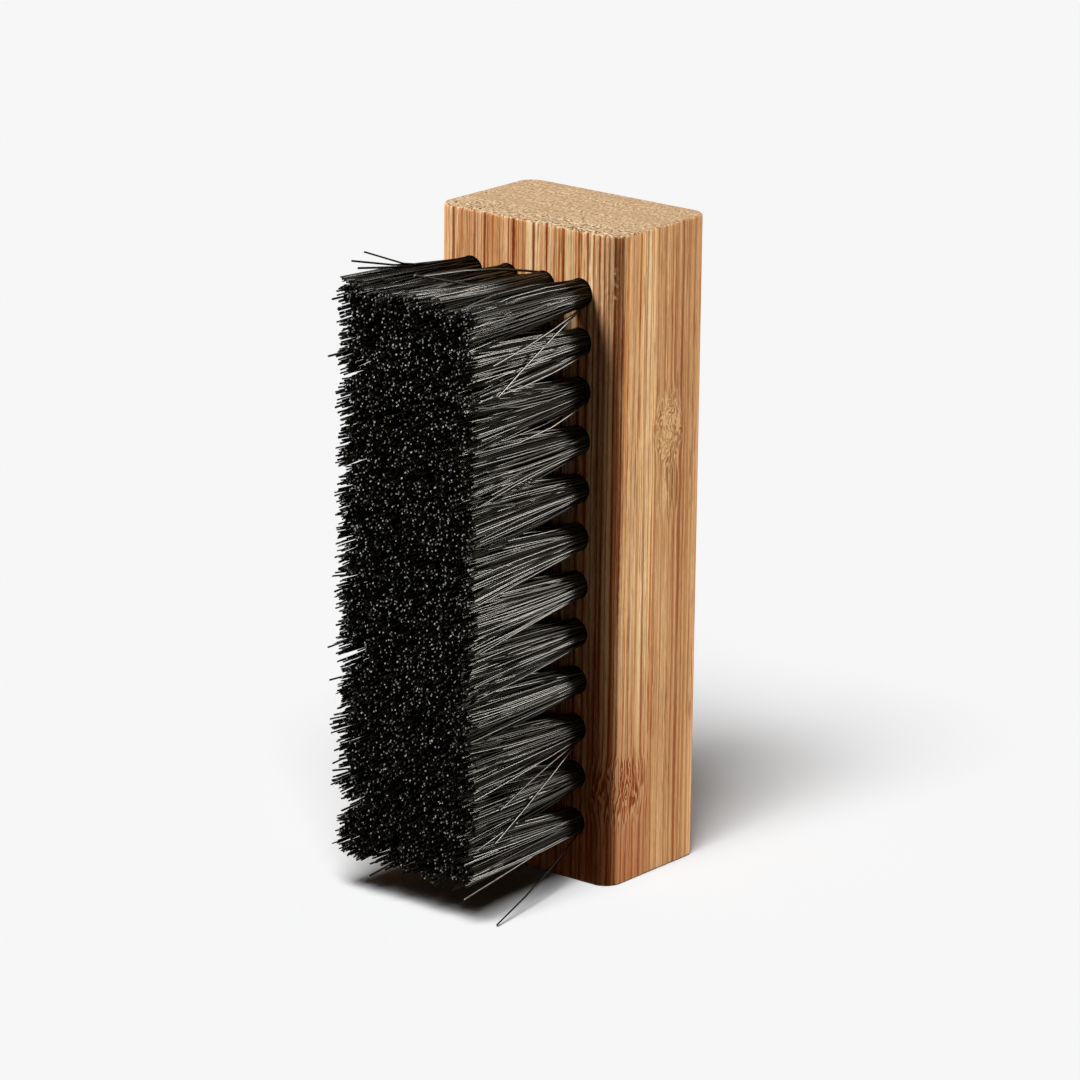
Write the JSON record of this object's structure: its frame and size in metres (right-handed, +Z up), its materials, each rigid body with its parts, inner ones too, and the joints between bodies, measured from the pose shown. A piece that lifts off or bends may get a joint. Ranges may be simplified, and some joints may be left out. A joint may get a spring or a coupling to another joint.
{
  "type": "shoe brush",
  "caption": "Hand brush for shoes: a rounded block glued up from bamboo strips, with stiff black filament tufts set in drilled holes along one long face.",
  "frame": {"origin": "centre of the end of the block on which the brush stands", "axes": "+Z up along the block's length, -Y the way the bristles point, X across the block"},
  "size_m": [0.0412, 0.0591, 0.12],
  "materials": {
    "front_bamboo": "fine sanded bamboo, lightly oiled",
    "middle_bamboo": "fine sanded bamboo, lightly oiled",
    "back_bamboo": "fine sanded bamboo, lightly oiled",
    "black_filament": "stiff black filament with a soft gloss along its length"
  },
  "bodies": {
    "root": {"front_strip_1": "front_bamboo", "front_strip_2": "front_bamboo", "middle_strip_1": "middle_bamboo", "middle_strip_2": "middle_bamboo", "middle_strip_3": "middle_bamboo", "back_strip_1": "back_bamboo", "back_strip_2": "back_bamboo", "back_strip_3": "back_bamboo", "tuft_row01_col1": "black_filament", "tuft_row01_col2": "black_filament", "tuft_row01_col3": "black_filament", "tuft_row01_col4": "black_filament", "tuft_row02_col1": "black_filament", "tuft_row02_col2": "black_filament", "tuft_row02_col3": "black_filament", "tuft_row02_col4": "black_filament", "tuft_row03_col1": "black_filament", "tuft_row03_col2": "black_filament", "tuft_row03_col3": "black_filament", "tuft_row03_col4": "black_filament", "tuft_row04_col1": "black_filament", "tuft_row04_col2": "black_filament", "tuft_row04_col3": "black_filament", "tuft_row04_col4": "black_filament", "tuft_row05_col1": "black_filament", "tuft_row05_col2": "black_filament", "tuft_row05_col3": "black_filament", "tuft_row05_col4": "black_filament", "tuft_row06_col1": "black_filament", "tuft_row06_col2": "black_filament", "tuft_row06_col3": "black_filament", "tuft_row06_col4": "black_filament", "tuft_row07_col1": "black_filament", "tuft_row07_col2": "black_filament", "tuft_row07_col3": "black_filament", "tuft_row07_col4": "black_filament", "tuft_row08_col1": "black_filament", "tuft_row08_col2": "black_filament", "tuft_row08_col3": "black_filament", "tuft_row08_col4": "black_filament", "tuft_row09_col1": "black_filament", "tuft_row09_col2": "black_filament", "tuft_row09_col3": "black_filament", "tuft_row09_col4": "black_filament", "tuft_row10_col1": "black_filament", "tuft_row10_col2": "black_filament", "tuft_row10_col3": "black_filament", "tuft_row10_col4": "black_filament", "tuft_row11_col1": "black_filament", "tuft_row11_col2": "black_filament", "tuft_row11_col3": "black_filament", "tuft_row11_col4": "black_filament", "tuft_row12_col1": "black_filament", "tuft_row12_col2": "black_filament", "tuft_row12_col3": "black_filament", "tuft_row12_col4": "black_filament"}
  },
  "joints": []
}
